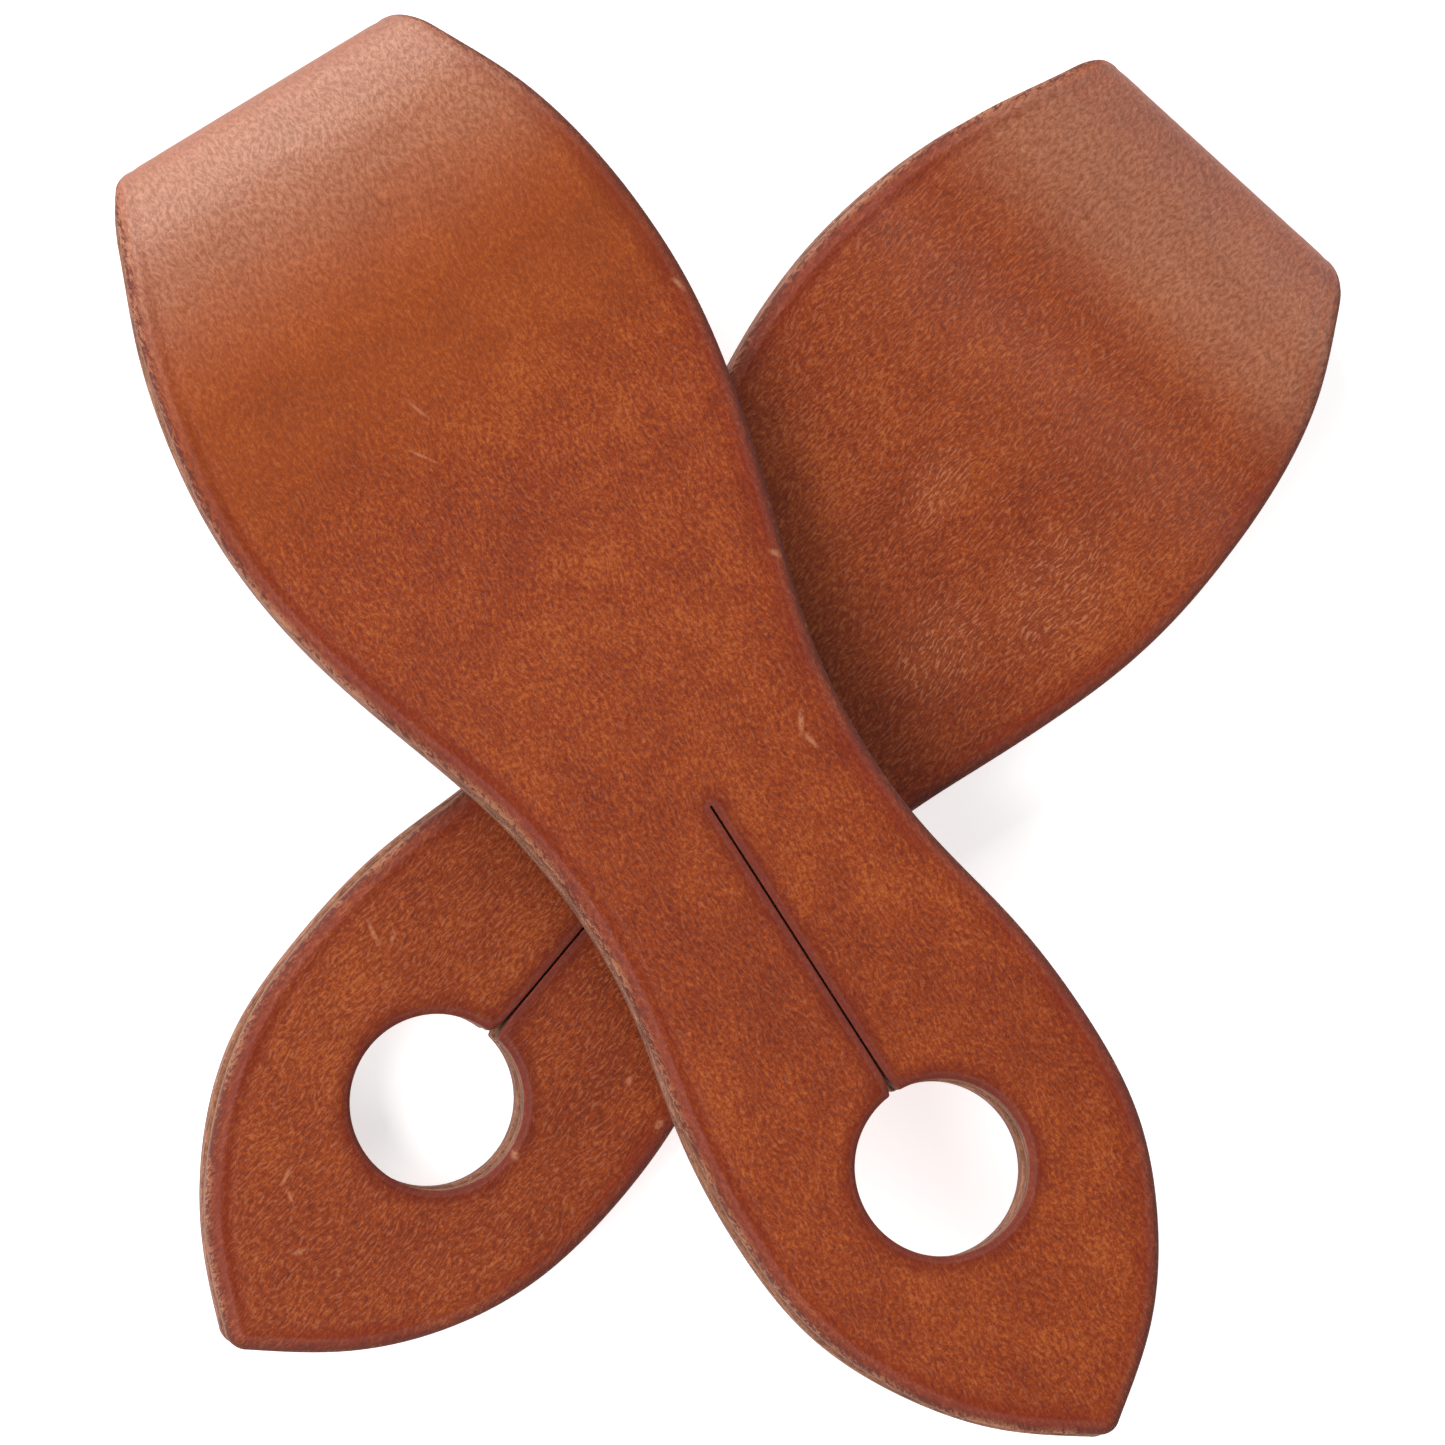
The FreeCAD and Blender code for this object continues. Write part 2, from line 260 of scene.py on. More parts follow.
def strap_mesh(seed):
    """One strap's skin: each point's flat place, depth and distances from edge and rim, then the faces."""
    loop = outline()
    n = len(loop)
    # hand-cut edge
    loop = loop + inward(loop, 3) * (EDGE_WANDER * waves(loop[:, 0], loop[:, 1], seed + 1, EDGE_WAVE))[:, None]
    normal = inward(loop, 2)
    reach = np.abs(loop[:, 1]) / np.maximum(np.abs(normal[:, 1]), 0.05)
    tip = np.abs(loop[:, 0]) > LENGTH + SKIP - 30
    reach = np.where(tip, np.maximum(reach, TIP_RADIUS), FAR)
    place, depth, edge, rimd, faces = [], [], [], [], []

    def add(points, z, e, r):
        """Adds a row of points, with their depth and distances from edge and rim, and gives its first index."""
        first = sum(len(p) for p in place)
        place.append(points)
        depth.append(np.broadcast_to(z, len(points)).astype(float))
        edge.append(np.broadcast_to(e, len(points)).astype(float))
        rimd.append(np.broadcast_to(r, len(points)).astype(float))
        return first

    def ladder(a, b, count):
        """Faces between two closed rows of points."""
        for i in range(count):
            j = (i + 1) % count
            faces.append((a + i, b + i, b + j, a + j))

    def groove(d):
        """Depth of the crease, a distance d in from the edge."""
        return GROOVE_DEPTH * np.exp(-((d - GROOVE_PLACE) / GROOVE_WIDTH) ** 2)

    # outer edge, from the grain face round to the flesh side
    rows = []
    total = len(EDGE_RINGS)
    for j, d in enumerate(EDGE_RINGS):
        share = 0.5 + 0.43 * (total - 1 - j) / (total - 1)
        e = np.minimum(d, reach * share)
        z = rounding(e, BEVEL_WIDTH, BEVEL_DEPTH) + groove(e)
        rows.append(add(loop + normal * e[:, None], z, e, FAR))
    for d, z in EDGE_WALL:
        e = np.minimum(d, reach * 0.5)
        rows.append(add(loop + normal * e[:, None], z, e, FAR))
    for a, b in zip(rows, rows[1:]):
        ladder(a, b, n)
    inner_outer, flesh_outer = rows[0], rows[-1]

    # rein hole and slit in both leaves
    inner_rims, flesh_rims = [], []
    for sign in (1, -1):
        hole, share, room = rim(sign)
        m = len(hole)
        outward = inward(hole, 2)
        rows = []
        for j, d in enumerate(RIM_RINGS):
            e = np.minimum(d * share, room * (1 - 0.6 * j / len(RIM_RINGS)))
            z = rounding(e / share, RIM_WIDTH, RIM_DEPTH) * share ** 1.2
            rows.append(add(hole + outward * e[:, None], z, FAR, e))
        for d, z in RIM_WALL:
            e = np.minimum(d * share, room * 0.4)
            rows.append(add(hole + outward * e[:, None], z, FAR, e))
        for a, b in zip(rows, rows[1:]):
            ladder(a, b, m)
        inner_rims.append((rows[0], m))
        flesh_rims.append((rows[-1], m))

    def fill(outer, rims, pitch, z, margin, order):
        """The open face between an outer ring and the rims' rings, in triangles."""
        flat = np.concatenate(place)
        ring = flat[outer:outer + n]
        holes = [flat[a:a + m] for a, m in rims]
        xs = np.arange(-GRID_LENGTH, GRID_LENGTH, pitch)
        ys = np.arange(-GRID_WIDTH, GRID_WIDTH, pitch * 0.9)
        gx, gy = np.meshgrid(xs, ys, indexing="ij")
        gy = gy + 0.45 * pitch * (np.arange(len(xs)) % 2)[:, None]
        g = np.stack([gx.ravel(), gy.ravel()], axis=1)
        keep = within(g, ring) & (distance(g, ring) > margin)
        for h in holes:
            keep &= ~within(g, h) & (distance(g, h) > margin)
        g = g[keep]
        e = distance(g, loop)
        r = np.minimum(*[distance(g, rim(s)[0]) for s in (1, -1)])
        first = add(g, z, e, r)
        ids = list(range(outer, outer + n))
        edges = [(i, (i + 1) % n) for i in range(n)]
        for a, m in rims:
            k = len(ids)
            ids += range(a, a + m)
            edges += [(k + i, k + (i + 1) % m) for i in range(m)]
        ids += range(first, first + len(g))
        flat = np.concatenate(place)
        points = [Vector(p) for p in flat[ids]]
        out = geometry.delaunay_2d_cdt(points, edges, [], 0, 1e-5)
        back = [o[0] if o else -1 for o in out[3]]
        tris = np.array([f for f in out[2] if len(f) == 3])
        cdt = np.array([tuple(v) for v in out[0]])
        middle = cdt[tris].mean(axis=1)
        ok = within(middle, ring)
        for h in holes:
            ok &= ~within(middle, h)
        ids = np.array(ids)
        for t in tris[ok]:
            if min(back[i] for i in t) >= 0:
                faces.append(tuple(int(ids[back[i]]) for i in t[::order]))

    fill(inner_outer, inner_rims, 2.0, 0.0, 0.8, 1)
    fill(flesh_outer, flesh_rims, 3.0, LEATHER, 1.2, -1)
    flat = np.concatenate(place)
    return flat, np.concatenate(depth), np.concatenate(edge), np.concatenate(rimd), faces


def placements():
    """Each strap's frame: the fold's middle on the underside, and the directions along, across and up."""
    def turn(axis, degrees):
        return np.array(Matrix.Rotation(math.radians(degrees), 3, axis))

    heading = math.radians(TILT_AXIS_HEADING)
    tilt = turn(Vector((math.cos(heading), math.sin(heading), 0)), -UPPER_TILT)
    lower = (np.array(LOWER_ORIGIN), turn("Z", LOWER_HEADING))
    upper = (np.array(UPPER_ORIGIN), tilt @ turn("Z", UPPER_HEADING))
    return {"lower": lower, "upper": upper}


def make_piece(name, points, faces, normals, data, material):
    """One mesh object from a share of the strap's faces, keeping the whole strap's normals."""
    used = np.unique(np.concatenate([np.array(f) for f in faces]))
    index = {int(v): i for i, v in enumerate(used)}
    mesh = bpy.data.meshes.new(name)
    mesh.from_pydata((points[used] * MM).tolist(), [], [[index[i] for i in f] for f in faces])
    mesh.update()
    mesh.polygons.foreach_set("use_smooth", [True] * len(mesh.polygons))
    flat, depth, edge, rimd = data
    vec = mesh.attributes.new("leather", "FLOAT_VECTOR", "POINT")
    value = np.stack([flat[used, 0], flat[used, 1], depth[used]], axis=1)
    vec.data.foreach_set("vector", value.astype(np.float32).ravel())
    for label, column in (("edge", edge), ("rim", rimd)):
        a = mesh.attributes.new(label, "FLOAT", "POINT")
        a.data.foreach_set("value", column[used].astype(np.float32))
    uv = mesh.uv_layers.new(name="flat")
    corners = np.zeros(len(mesh.loops), int)
    mesh.loops.foreach_get("vertex_index", corners)
    flesh = (depth[used] > UV_SPLIT)[corners]
    spread = flat[used][corners] / UV_SPAN
    spread[:, 0] += 0.5
    spread[:, 1] += np.where(flesh, UV_FLESH, UV_GRAIN)
    uv.data.foreach_set("uv", spread.astype(np.float32).ravel())
    mesh.materials.append(material)
    mesh.normals_split_custom_set_from_vertices(normals[used].tolist())
    obj = bpy.data.objects.new(name, mesh)
    bpy.context.scene.collection.objects.link(obj)
    return obj


def vertex_normals(points, faces):
    """Area-weighted normals of the whole strap, which its pieces share."""
    n = np.zeros_like(points)
    for size in (3, 4):
        f = np.array([x for x in faces if len(x) == size])
        if size == 3:
            c = np.cross(points[f[:, 1]] - points[f[:, 0]], points[f[:, 2]] - points[f[:, 0]])
        else:
            c = np.cross(points[f[:, 2]] - points[f[:, 0]], points[f[:, 3]] - points[f[:, 1]])
        for k in range(size):
            np.add.at(n, f[:, k], c)
    return n / np.maximum(np.linalg.norm(n, axis=1), 1e-12)[:, None]


def build_strap(kind, seed, material):
    """Builds one strap's three pieces, hangs the two leaves on their bodies and hides the CAD parts that the
    pieces stand in for.
    """
    origin, turn = placements()[kind]
    flat, depth, edge, rimd, faces = strap_mesh(seed)
    local = folded(flat[:, 0], flat[:, 1], depth, seed)
    points = local @ turn.T + origin
    normals = vertex_normals(points, faces)
    first = np.array([flat[list(f), 0].min() for f in faces])
    last = np.array([flat[list(f), 0].max() for f in faces])
    front, back = first > TOP_SEAM + 0.1, last < -LOW_SEAM - 0.1
    shares = {"back_leaf": back, "fold": ~(front | back), "front_leaf": front}
    data = (flat, depth, edge, rimd)
    pieces = {}
    for stretch, mask in shares.items():
        chosen = [f for f, m in zip(faces, mask) if m]
        name = f"{kind}_strap_{stretch}_skin"
        pieces[stretch] = make_piece(name, points, chosen, normals, data, material)
    base, front = kind + "_base", kind + "_front"
    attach(pieces["back_leaf"], base)
    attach(pieces["front_leaf"], front)
    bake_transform(pieces["fold"])
    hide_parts(f"{kind}_strap_back_leaf")
    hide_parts(f"{kind}_strap_fold")
    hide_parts(f"{kind}_strap_crest", f"{kind}_strap_front_leaf")


def linear(r, g, b):
    """A display colour, 0 to 255, as the light it stands for."""
    levels = [c / 255 / 12.92 if c < 10 else ((c / 255 + 0.055) / 1.055) ** 2.4 for c in (r, g, b)]
    return tuple(levels) + (1.0,)


class Look:
    """Builds one material's nodes with short names."""

    def __init__(self, name):
        self.material = bpy.data.materials.new(name)
        self.material.use_nodes = True
        self.tree = self.material.node_tree
        self.tree.nodes.clear()

    def add(self, kind, sockets, **settings):
        """A node with its settings, and its inputs set to values or joined to outputs."""
        node = self.tree.nodes.new("ShaderNode" + kind)
        for key, value in settings.items():
            setattr(node, key, value)
        for key, value in sockets.items():
            if isinstance(value, bpy.types.NodeSocket):
                self.tree.links.new(value, node.inputs[key])
            else:
                node.inputs[key].default_value = value
        return node

    def given(self, name):
        """A number that the mesh carries."""
        return self.add("Attribute", {}, attribute_name=name).outputs["Fac"]

    def place(self):
        """The point's place on the flat leather, and its depth."""
        return self.add("Attribute", {}, attribute_name="leather").outputs["Vector"]

    def stretch(self, vector, scale, shift=(0, 0, 0)):
        """The vector scaled, then shifted."""
        node = self.add("VectorMath", {0: vector, 1: scale, 2: shift}, operation="MULTIPLY_ADD")
        return node.outputs[0]

    def ramp(self, value, stops):
        """A colour that runs through the stops, each a value and a display colour."""
        node = self.add("ValToRGB", {"Fac": value})
        elements = node.color_ramp.elements
        elements[0].position, elements[0].color = stops[0][0], linear(*stops[0][1])
        elements[1].position, elements[1].color = stops[-1][0], linear(*stops[-1][1])
        for where, colour in stops[1:-1]:
            elements.new(where).color = linear(*colour)
        return node.outputs["Color"]

    def turned(self, vector, degrees, scale):
        """The vector scaled and turned in the plane of the leather."""
        sockets = {"Vector": vector, "Rotation": (0, 0, math.radians(degrees)), "Scale": scale}
        return self.add("Mapping", sockets).outputs[0]

    def noise(self, vector, scale, detail=3.0, rough=0.55, warp=0.0):
        """Smooth noise between 0 and 1."""
        sockets = {"Vector": vector, "Scale": scale, "Detail": detail, "Roughness": rough, "Distortion": warp}
        return self.add("TexNoise", sockets).outputs["Fac"]

    def math(self, operation, a, b=0.0, c=0.0):
        return self.add("Math", {0: a, 1: b, 2: c}, operation=operation).outputs[0]

    def step(self, value, low, high, to_low=0.0, to_high=1.0):
        """Eases from one value to another as the input goes from low to high."""
        sockets = {"Value": value, "From Min": low, "From Max": high, "To Min": to_low, "To Max": to_high}
        return self.add("MapRange", sockets, interpolation_type="SMOOTHSTEP").outputs[0]

    def bump_at(self, value, centre, width):
        """1 where the input is at the centre, falling off on both sides."""
        x = self.math("DIVIDE", self.math("SUBTRACT", value, centre), width)
        return self.math("POWER", math.e, self.math("MULTIPLY", self.math("MULTIPLY", x, x), -1.0))

    def mix(self, share, a, b):
        """Colour a, with a share of colour b mixed in."""
        node = self.add("Mix", {}, data_type="RGBA", blend_type="MIX")
        for key, value in ((0, share), (6, a), (7, b)):
            if isinstance(value, bpy.types.NodeSocket):
                self.tree.links.new(value, node.inputs[key])
            else:
                node.inputs[key].default_value = value
        return node.outputs[2]

    def mark(self, vector, u, v, long, wide, degrees):
        """1 at the middle of a small mark on the grain face, falling to 0 at its rim."""
        flat = self.stretch(vector, (1, 1, 0))
        sockets = {"Vector": flat, "Location": (u + SKIP, v, 0), "Rotation": (0, 0, math.radians(degrees)),
                   "Scale": (long, wide, 1)}
        inside = self.add("Mapping", sockets, vector_type="TEXTURE").outputs[0]
        reach = self.add("VectorMath", {0: inside}, operation="LENGTH").outputs["Value"]
        return self.step(reach, 0.15, 1.0, 1.0, 0.0)

    def most(self, values):
        """The largest of the values."""
        total = values[0]
        for value in values[1:]:
            total = self.math("MAXIMUM", total, value)
        return total


def grain_face(k, flat, shifted, sheen_patches, hair_share, gap_share):
    """The grain face's colour, then the strands and pits that also give it relief."""
    # faint clouds, patches a few millimetres wide, and short fine flecks whose direction wanders
    cloud = k.noise(shifted, 0.035, 2.0, 0.5)
    patch = k.noise(shifted, 0.14, 3.0, 0.6, 0.4)
    drift = k.add("TexNoise", {"Vector": shifted, "Scale": 0.10, "Detail": 2.0}).outputs["Color"]
    warped = k.stretch(drift, (4.0, 4.0, 0.0), shifted)
    strands = k.noise(k.turned(warped, 25.0, (0.85, 1.45, 1.0)), 1.15, 3.0, 0.8)
    pits = k.noise(shifted, 1.7, 2.0, 0.7, 0.5)
    tone = k.math("MULTIPLY", cloud, 0.12)
    for layer, share in ((patch, 0.14), (strands, 0.42), (pits, 0.32)):
        tone = k.math("MULTIPLY_ADD", layer, share, tone)
    face = k.ramp(tone, RUSSET)

    # pale raised hairs with dark gaps between them, and more pale hairs as painted sheen in broad patches
    hairs = k.noise(k.turned(warped, 18.0, (0.7, 2.8, 1.0)), 1.0, 2.0, 0.6)
    face = k.mix(k.step(hairs, 0.34, 0.48, gap_share, 0.0), face, linear(*GAP))
    # painted sheen: the broad patches raise the share of pale hairs
    hairs_and_sheen = k.most([hair_share] + [k.math("MULTIPLY", k.mark(flat, *sheen_patch), 0.9) for sheen_patch in sheen_patches])
    hairs_and_sheen = k.math("MULTIPLY", hairs_and_sheen, k.math("MULTIPLY_ADD", k.step(hairs, 0.52, 0.66), 0.85, 0.15))
    return k.mix(hairs_and_sheen, face, linear(*HAIR)), strands, pits


def fold_sheen_face(k, face, strands, shifted, from_fold, fold_sheen, light_below_fold):
    """Adds a pale painted sheen where the leather is bent round the fold, and a band of painted light, warmer
    and brighter, below it.
    """
    # painted sheen: a pale colour stands in for the shine on the bend of the fold, broken into streaks
    (rise, full, low, high), (fall, gone) = fold_sheen
    sheen_share = k.math("MULTIPLY", k.step(from_fold, rise, full, low, high), k.step(from_fold, fall, gone, 1.0, 0.0))
    streaks = k.noise(k.stretch(shifted, (1.0, 0.15, 1.0)), 0.25, 3.0, 0.6)
    sheen_share = k.math("MULTIPLY", sheen_share, k.step(streaks, 0.3, 0.7, 0.85, 1.12))
    sheen_colour = k.mix(k.step(strands, 0.38, 0.62), linear(*SHEEN_DARK), linear(*SHEEN_PALE))
    sheen_colour = k.mix(k.step(from_fold, 1.0, 9.0), linear(*SHEEN_AT_FOLD), sheen_colour)
    face = k.mix(sheen_share, face, sheen_colour)
    # painted light: a brighter, warmer band some way below the fold
    below_fold = k.math("MULTIPLY", k.step(from_fold, 14.0, 42.0), k.step(from_fold, 46.0, 70.0, light_below_fold, 0.0))
    return k.mix(below_fold, face, linear(*LIT_BELOW_FOLD))


def bordered_face(k, face, shifted, from_fold, edge, rim_d):
    """Adds the darker band inside the edge, which fades at the fold, and the ring round the hole and slit."""
    wander = k.math("MULTIPLY", k.math("SUBTRACT", k.noise(shifted, 0.3, 3.0), 0.5), 2.2)
    uneven = k.step(k.noise(shifted, 0.045, 2.0), 0.35, 0.6, 0.5, 0.95)
    uneven = k.math("MULTIPLY", uneven, k.step(from_fold, 8.0, 45.0, 0.12, 1.0))
    band = k.math("MULTIPLY", k.step(k.math("ADD", edge, wander), 2.2, 5.0, 1.0, 0.0), uneven)
    face = k.mix(k.math("MULTIPLY", band, 0.62), face, linear(*EDGE_BAND))
    ring = k.math("MULTIPLY", k.step(k.math("ADD", rim_d, wander), 0.2, 3.7, 1.0, 0.0), 0.75)
    return k.mix(ring, face, linear(*RIM_RING))


def marked_face(k, face, flat, shifted, marks):
    """Adds the small pale marks, each broken up."""
    broken = k.step(k.noise(shifted, 1.3, 3.0, 0.7), 0.33, 0.55, 0.0, 0.85)
    pale = k.math("MULTIPLY", k.most([k.mark(flat, *mark) for mark in marks]), broken)
    return k.mix(pale, face, linear(*PALE_MARK))


def rounded_edge(k, shifted, across, edge):
    """The burnished rounded edge: where it is, its colour, and its raised tan fibres, more of them on the side
    of negative across as painted light.
    """
    fibres = k.noise(k.turned(shifted, 38.0, (0.8, 2.4, 1.2)), 1.1, 3.0, 0.75, 0.4)
    worn = k.math("MULTIPLY", k.math("SUBTRACT", k.noise(shifted, 0.09, 2.0, 0.6), 0.5), 0.5)
    # painted light: more pale fibres on the edge of negative across, the side that faces the light; the worn
    # noise varies them
    lit_side_and_wear = k.math("ADD", k.step(across, -6.0, 6.0, 0.02, -0.10), worn)
    bristle = k.step(k.math("ADD", fibres, lit_side_and_wear), 0.48, 0.62)
    ragged = k.math("MULTIPLY_ADD", k.math("SUBTRACT", fibres, 0.5), 3.4, edge)
    return k.step(ragged, 0.1, 1.4, 1.0, 0.0), k.mix(bristle, linear(*BURNISHED), linear(*BRISTLE)), fibres


def cut_wall(k, shifted, depth):
    """The cut edge: layered fibres, with a dark line under the grain layer."""
    layers = k.noise(k.stretch(shifted, (0.25, 0.25, 2.2)), 1.3, 4.0, 0.7, 0.6)
    specks = k.noise(shifted, 2.4, 3.0, 0.7)
    cut = k.mix(k.step(layers, 0.36, 0.66), linear(*CUT_DARK), linear(*CUT_PALE))
    cut = k.mix(k.step(specks, 0.55, 0.72), cut, linear(*CUT_SPECK))
    dark_line = k.math("MULTIPLY", k.bump_at(depth, 1.95, 0.22), 0.7)
    return k.mix(dark_line, cut, linear(*CUT_LINE))


def strap_leather(name, seed, marks, sheen_patches, hair_share, gap_share, fold_sheen, light_below_fold):
    """Waxed russet leather: grain face, creased and rounded edges, fibrous cut walls and a suede flesh side."""
    k = Look(name)
    flat = k.place()
    shifted = k.stretch(flat, (1, 1, 1), (seed * 173.0, seed * 59.0, 0))
    along, across, depth = k.add("SeparateXYZ", {"Vector": flat}).outputs
    from_fold = k.math("ABSOLUTE", along)
    edge, rim_d = k.given("edge"), k.given("rim")

    face, strands, pits = grain_face(k, flat, shifted, sheen_patches, hair_share, gap_share)
    face = fold_sheen_face(k, face, strands, shifted, from_fold, fold_sheen, light_below_fold)
    face = bordered_face(k, face, shifted, from_fold, edge, rim_d)
    face = marked_face(k, face, flat, shifted, marks)
    bevel, rounded, fibres = rounded_edge(k, shifted, across, edge)
    colour = k.mix(bevel, face, rounded)

    cut = cut_wall(k, shifted, depth)
    walls = k.step(depth, 1.35, 2.0)
    colour = k.mix(walls, colour, cut)
    rim_wall = k.math("MULTIPLY", k.step(rim_d, 0.05, 0.5, 1.0, 0.0), k.step(depth, 0.5, 1.2))
    colour = k.mix(rim_wall, colour, cut)

    nap = k.noise(shifted, 1.1, 5.0, 0.75, 0.5)
    suede = k.mix(k.step(nap, 0.3, 0.7), linear(*SUEDE_DARK), linear(*SUEDE_PALE))
    flesh = k.step(depth, 4.02, 4.18)
    colour = k.mix(flesh, colour, suede)

    # waxed on the grain face, duller at the fold and the edges, dry on the cut walls and the flesh side
    rough = k.most([
        k.step(strands, 0.3, 0.7, 0.43, 0.35),
        k.step(from_fold, 6.0, 34.0, 0.58, 0.0),
        k.step(edge, 1.0, 3.2, 0.85, 0.0),
        k.step(rim_d, 0.4, 1.8, 0.85, 0.0),
        k.math("MULTIPLY", walls, 0.85),
        k.math("MULTIPLY", flesh, 0.95),
    ])
    relief = k.math("MULTIPLY_ADD", strands, 0.6, k.math("MULTIPLY", pits, 0.4))
    relief = k.math("MULTIPLY_ADD", k.math("MULTIPLY", fibres, k.math("MAXIMUM", bevel, walls)), 1.4, relief)
    bumped = k.add("Bump", {"Height": relief, "Distance": 0.00022, "Strength": 0.5}).outputs[0]
    sockets = {"Base Color": colour, "Roughness": rough, "Normal": bumped, "Specular IOR Level": 0.5}
    shader = k.add("BsdfPrincipled", sockets)
    k.add("OutputMaterial", {"Surface": shader.outputs[0]})
    return k.material


# The grain face's colours, from the darkest flecks to the palest
RUSSET = [(0.40, (96, 26, 5)), (0.46, (120, 41, 8)), (0.52, (137, 52, 10)), (0.60, (166, 82, 30))]
GAP, HAIR = (92, 24, 5), (178, 110, 76)
# painted sheen round the fold, pale and waxy-looking, and painted light in a brighter band below it
SHEEN_DARK, SHEEN_PALE, SHEEN_AT_FOLD, LIT_BELOW_FOLD = (150, 95, 66), (186, 132, 106), (138, 94, 74), (204, 104, 40)
EDGE_BAND, RIM_RING, PALE_MARK = (112, 27, 6), (98, 21, 5), (176, 112, 80)
# The rounded edge, the cut walls and the flesh side
BURNISHED, BRISTLE = (92, 34, 18), (158, 104, 74)
CUT_DARK, CUT_PALE, CUT_SPECK, CUT_LINE = (86, 46, 34), (156, 104, 80), (176, 132, 106), (50, 22, 14)
SUEDE_DARK, SUEDE_PALE = (108, 64, 40), (162, 112, 76)

# Pale marks, and broad patches of painted sheen: station, place across, half length, half width and angle in
# degrees
UPPER_MARKS = [
    (118.5, 17.7, 2.8, 0.6, -30.0), (121.5, 17.4, 2.2, 0.6, 12.0), (51.0, -5.0, 3.2, 0.35, 20.0),
    (57.0, -8.0, 3.0, 0.3, 35.0), (96.0, 28.0, 1.6, 0.7, 40.0), (108.0, -26.6, 2.8, 0.9, 75.0),
    (112.0, -25.6, 1.6, 0.8, 20.0), (55.5, 37.2, 1.9, 0.6, 15.0),
]
LOWER_MARKS = [
    (171.0, -23.0, 3.0, 0.5, 65.0), (169.5, -20.5, 1.4, 0.5, 20.0), (163.0, 19.5, 1.5, 0.6, 30.0),
    (165.0, 27.0, 1.7, 0.9, 10.0), (182.0, 13.6, 1.3, 0.8, 50.0), (212.5, -1.5, 1.7, 0.6, -35.0),
    (205.5, -10.0, 2.2, 0.45, 15.0), (207.5, -7.5, 1.6, 0.4, 60.0),
]
LOWER_SHEEN_PATCHES = [(66.0, 22.0, 24.0, 18.0, 0.0), (66.0, -2.0, 14.0, 9.0, 20.0), (84.0, 14.0, 18.0, 14.0, 0.0)]

# Painted sheen round the fold: where it rises and is full, its least and greatest share, and where it falls and
# is gone
UPPER_FOLD_SHEEN = ((1.0, 12.0, 0.60, 0.80), (12.0, 44.0))
LOWER_FOLD_SHEEN = ((4.0, 20.0, 0.20, 0.55), (23.0, 40.0))


lower_look = strap_leather(
    "lower_strap_leather_look", 1.0, LOWER_MARKS, LOWER_SHEEN_PATCHES, hair_share=0.46, gap_share=0.45,
    fold_sheen=LOWER_FOLD_SHEEN, light_below_fold=0.05)
upper_look = strap_leather(
    "upper_strap_leather_look", 2.0, UPPER_MARKS, [], hair_share=0.26, gap_share=0.22,
    fold_sheen=UPPER_FOLD_SHEEN, light_below_fold=0.23)
build_strap("lower", 11, lower_look)
build_strap("upper", 23, upper_look)

# Camera, at the angle the pair was seen from. Its own right, up and back are turned with the picture.
TURN, YAW, PITCH = math.radians(40.38), math.radians(12.2), math.radians(-2.0)
TARGET = Vector((6.55, 1.56, 4.0)) * MM
EYE = Vector((-0.0009, -0.0001, 0.752))       # from the target, along the camera's right, up and back
SENSOR, LENS = 36.0, 127.159
spin = Matrix.Rotation(TURN, 3, "Z")


def add_camera():
    """The scene's camera."""
    back = Vector((-math.sin(YAW) * math.cos(PITCH), math.sin(PITCH), math.cos(YAW) * math.cos(PITCH)))
    right = Vector((0, 1, 0)).cross(back).normalized()
    axes = Matrix((spin @ right, spin @ back.cross(right), spin @ back)).transposed()
    data = bpy.data.cameras.new("camera")
    data.sensor_width, data.lens = SENSOR, LENS
    data.clip_start, data.clip_end = 0.01, 20.0
    obj = bpy.data.objects.new("camera", data)
    obj.matrix_world = Matrix.Translation(TARGET + axes @ EYE) @ axes.to_4x4()
    bpy.context.scene.collection.objects.link(obj)
    bpy.context.scene.camera = obj


# Floor, sky and lamps
FLOOR_SIZE, FLOOR_DROP = 30.0, 0.0004
FLOOR_SHADE, FLOOR_GLOW = 0.82, 0.65
SKY_LIGHT, SKY_SHOWN = 0.09, 0.72             # as a light, and as the camera sees it behind the floor
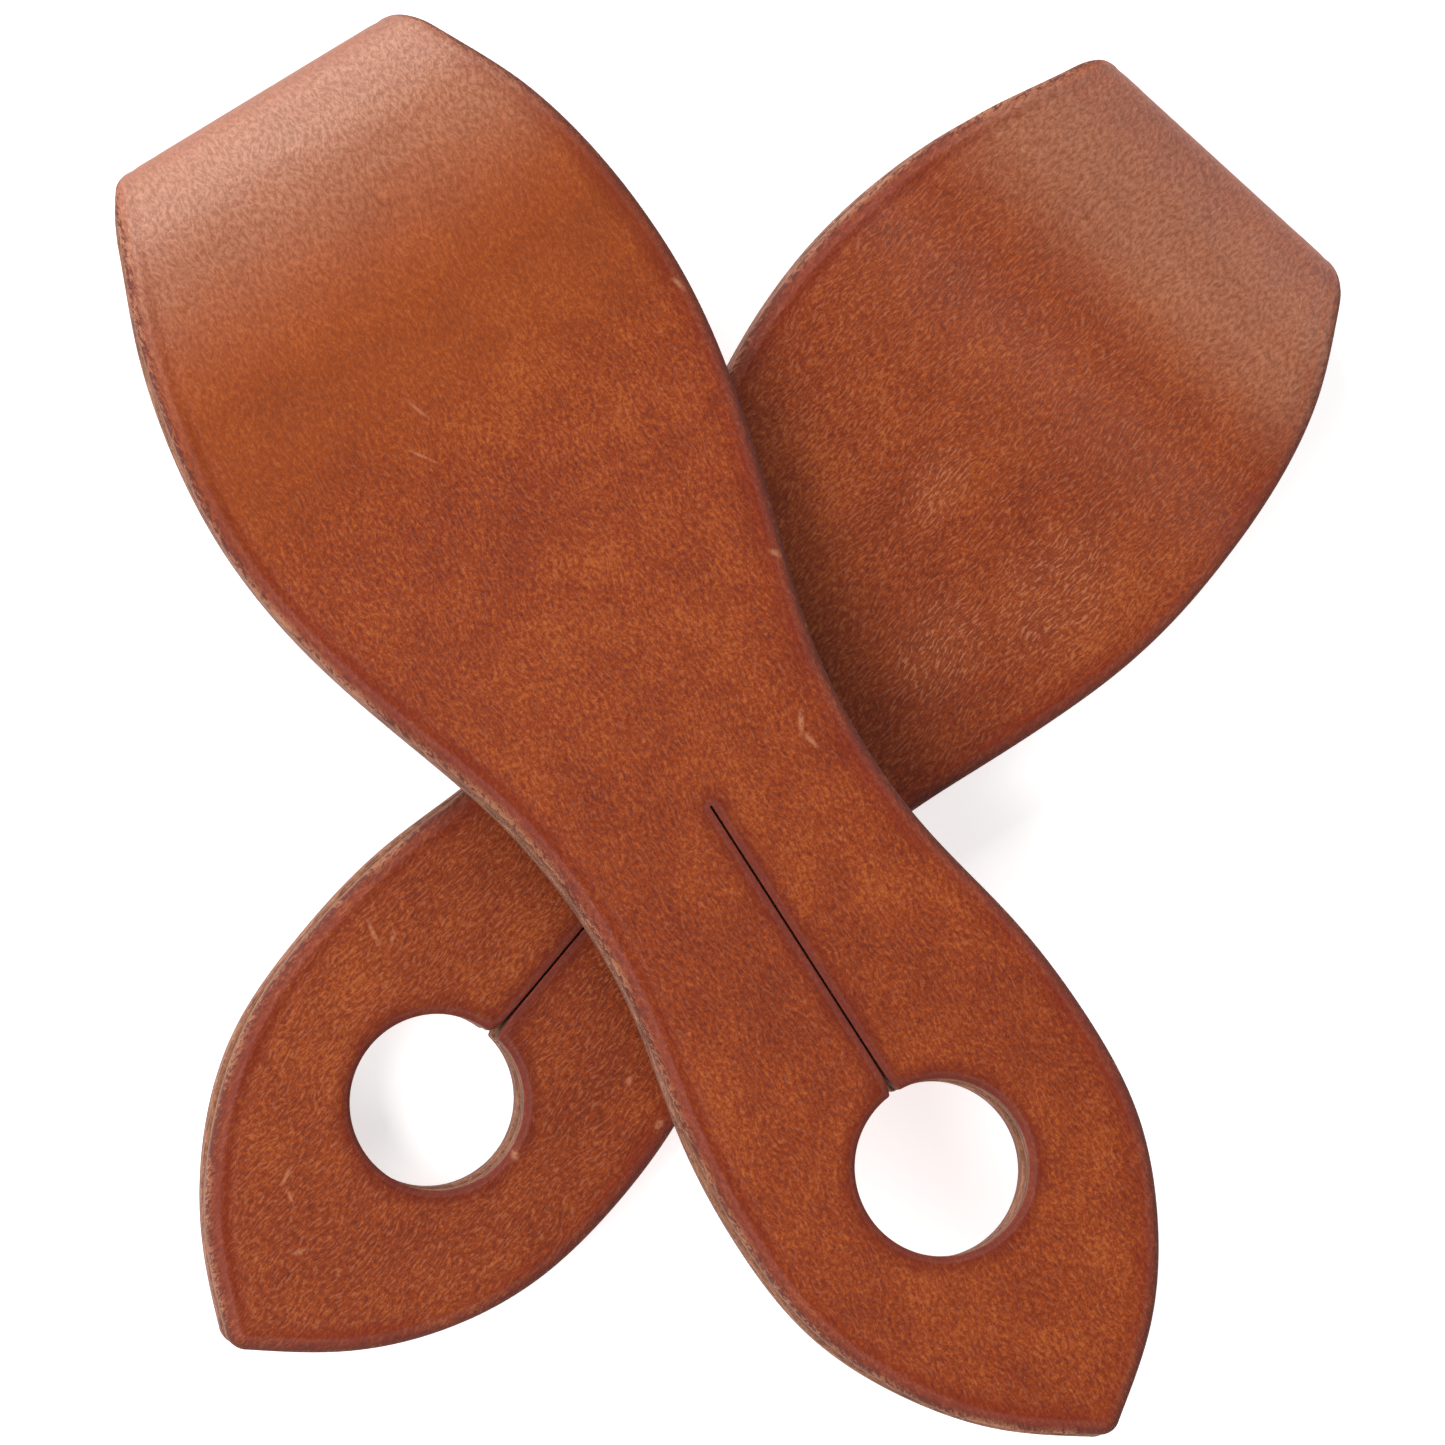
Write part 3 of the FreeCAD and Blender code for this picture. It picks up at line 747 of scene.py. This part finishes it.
# Direction seen from the pair as the picture's right, up and towards the eye; width, height and radiance
LAMPS = {
    "top_light": ((-0.46, 0.80, 0.40), 0.8, 0.65, 9.0),
    "right_light": ((0.88, 0.36, 0.34), 0.6, 0.6, 4.6),
    "left_light": ((-0.80, -0.26, 0.66), 0.8, 0.7, 7.0),
    "low_light": ((0.10, -0.85, 0.52), 0.7, 0.6, 3.6),
}
LAMP_DISTANCE = 1.2


def add_floor():
    """A plain pale floor just under the pair."""
    bpy.ops.mesh.primitive_plane_add(size=FLOOR_SIZE, location=(0, 0, -FLOOR_DROP))
    floor = bpy.context.object
    floor.name = "floor"
    pale = bpy.data.materials.new("pale_floor")
    pale.use_nodes = True
    sockets = pale.node_tree.nodes["Principled BSDF"].inputs
    sockets["Base Color"].default_value = (FLOOR_SHADE, FLOOR_SHADE, FLOOR_SHADE, 1)
    sockets["Roughness"].default_value = 0.9
    sockets["Emission Color"].default_value = (1, 1, 1, 1)
    sockets["Emission Strength"].default_value = FLOOR_GLOW
    floor.data.materials.append(pale)


def add_lamp(name, toward, width, height, radiance):
    """A soft light that faces the pair."""
    light = bpy.data.lights.new(name, "AREA")
    light.shape = "RECTANGLE"
    light.size, light.size_y = width, height
    light.energy = radiance * math.pi * width * height
    obj = bpy.data.objects.new(name, light)
    bpy.context.scene.collection.objects.link(obj)
    place = spin @ Vector(toward).normalized() * LAMP_DISTANCE
    obj.location = place
    obj.rotation_mode = "QUATERNION"
    obj.rotation_quaternion = (-place).to_track_quat("-Z", "Y")


def add_sky():
    """A dim even light from all round, which the camera sees as pale as the far floor."""
    world = bpy.data.worlds.new("world")
    bpy.context.scene.world = world
    world.use_nodes = True
    tree = world.node_tree
    sky = tree.nodes["Background"].inputs
    sky["Color"].default_value = (1, 1, 1, 1)
    path = tree.nodes.new("ShaderNodeLightPath")
    shown = tree.nodes.new("ShaderNodeMapRange")
    shown.inputs["To Min"].default_value = SKY_LIGHT
    shown.inputs["To Max"].default_value = SKY_SHOWN
    tree.links.new(path.outputs["Is Camera Ray"], shown.inputs["Value"])
    tree.links.new(shown.outputs["Result"], sky["Strength"])


add_camera()
add_floor()
for lamp_name, lamp_settings in LAMPS.items():
    add_lamp(lamp_name, *lamp_settings)
add_sky()
bpy.context.scene.view_settings.view_transform = "Standard"
